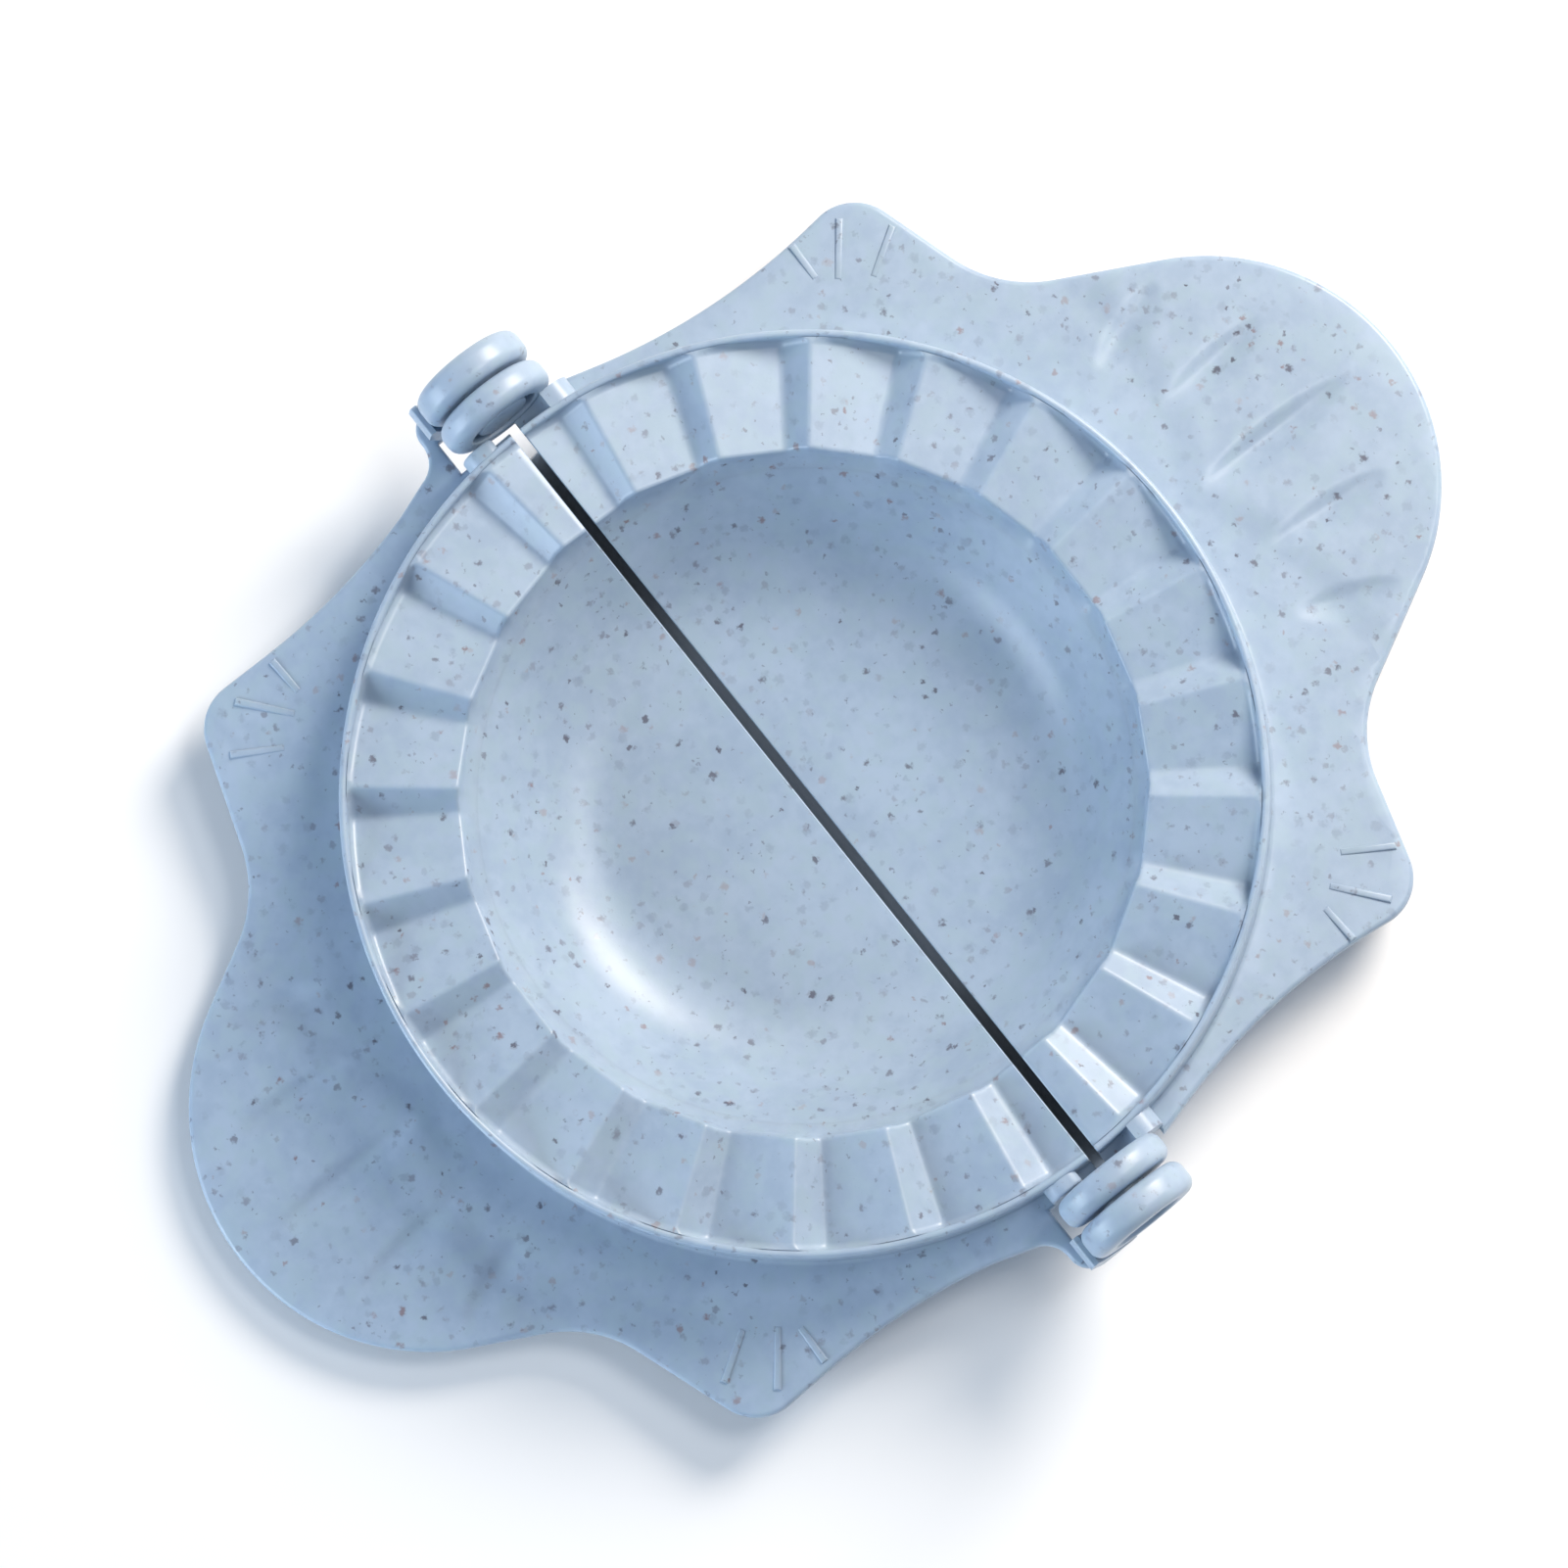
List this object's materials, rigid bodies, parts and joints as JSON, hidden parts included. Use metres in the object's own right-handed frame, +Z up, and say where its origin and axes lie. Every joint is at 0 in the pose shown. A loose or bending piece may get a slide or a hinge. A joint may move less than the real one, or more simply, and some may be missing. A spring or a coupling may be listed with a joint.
{
  "type": "dumpling and empanada press",
  "caption": "Hinged hand press for filled dough: dished half moulds with a pleated crimping rim and trimming lip, flat scalloped finger wings and snap-in hinge pins.",
  "frame": {"origin": "centre of the footprint of the press lying open on a table, straight under the hinge line", "axes": "+X along the hinge axis, +Y towards the half that folds over, +Z up from the table"},
  "size_m": [0.1114, 0.1505, 0.0223],
  "materials": {
    "straw_plastic": "satin pale blue plastic with fine brown straw specks"
  },
  "bodies": {
    "base_half": {"base_bowl": "straw_plastic", "base_crimp_ring": "straw_plastic", "base_trim_lip": "straw_plastic", "base_rim_wall": "straw_plastic", "base_cutter_edge": "straw_plastic", "base_wing": "straw_plastic", "base_thumb_pad": "straw_plastic", "base_tip_ribs": "straw_plastic", "base_hinge_neck_left": "straw_plastic", "base_hinge_neck_right": "straw_plastic", "base_cheek_left": "straw_plastic", "base_cheek_right": "straw_plastic", "outer_knuckle_left": "straw_plastic", "outer_knuckle_right": "straw_plastic", "hinge_pin_left": "straw_plastic", "hinge_pin_right": "straw_plastic"},
    "fold_half": {"fold_bowl": "straw_plastic", "fold_crimp_ring": "straw_plastic", "fold_trim_lip": "straw_plastic", "fold_rim_wall": "straw_plastic", "fold_cutter_edge": "straw_plastic", "fold_wing": "straw_plastic", "fold_thumb_pad": "straw_plastic", "fold_tip_ribs": "straw_plastic", "fold_hinge_arm_left": "straw_plastic", "fold_hinge_arm_right": "straw_plastic", "inner_knuckle_left": "straw_plastic", "inner_knuckle_right": "straw_plastic"}
  },
  "joints": [
    {"name": "fold_hinge", "type": "hinge", "parent": "base_half", "child": "fold_half", "pos_m": [0, 0, 0.016], "axis": [1, 0, 0], "range_deg": [0, 180]}
  ]
}
